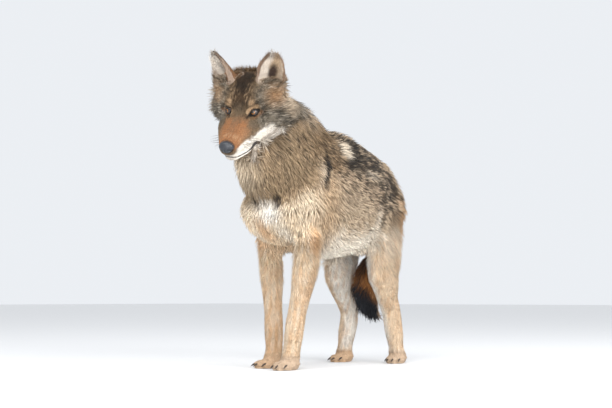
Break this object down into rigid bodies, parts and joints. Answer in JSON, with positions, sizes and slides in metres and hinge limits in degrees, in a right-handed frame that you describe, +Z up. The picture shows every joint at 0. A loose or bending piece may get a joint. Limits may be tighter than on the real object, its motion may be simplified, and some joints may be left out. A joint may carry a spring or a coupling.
{
  "type": "grey wolf model",
  "caption": "Life-size grey wolf standing on four legs in a thick winter coat, head turned a little to its left, ears up, tail tucked between the hind legs.",
  "frame": {"origin": "centre of the overall box in plan, on the floor under the paws", "axes": "the wolf faces -Y, its left side is +X, +Z is up"},
  "size_m": [0.3294, 0.9628, 0.9623],
  "materials": {
    "grey_coat": "long grizzled fur",
    "tan_coat": "short fur",
    "pale_coat": "short pale fur",
    "rust_coat": "rusty fur",
    "nose_pad": "damp pebbled skin",
    "eye": "amber, wet",
    "claw": "dark horn, satin"
  },
  "bodies": {
    "root": {"head": "grey_coat", "left_ear": "rust_coat", "left_eye": "eye", "left_fore_inner_claw": "claw", "left_fore_leg": "tan_coat", "left_fore_outer_claw": "claw", "left_fore_paw": "pale_coat", "left_fore_second_claw": "claw", "left_fore_third_claw": "claw", "left_hind_inner_claw": "claw", "left_hind_leg": "tan_coat", "left_hind_outer_claw": "claw", "left_hind_paw": "pale_coat", "left_hind_second_claw": "claw", "left_hind_third_claw": "claw", "lower_jaw": "pale_coat", "neck": "grey_coat", "nose": "nose_pad", "right_ear": "rust_coat", "right_eye": "eye", "right_fore_inner_claw": "claw", "right_fore_leg": "tan_coat", "right_fore_outer_claw": "claw", "right_fore_paw": "pale_coat", "right_fore_second_claw": "claw", "right_fore_third_claw": "claw", "right_hind_inner_claw": "claw", "right_hind_leg": "tan_coat", "right_hind_outer_claw": "claw", "right_hind_paw": "pale_coat", "right_hind_second_claw": "claw", "right_hind_third_claw": "claw", "tail": "rust_coat", "trunk": "grey_coat"}
  },
  "joints": []
}
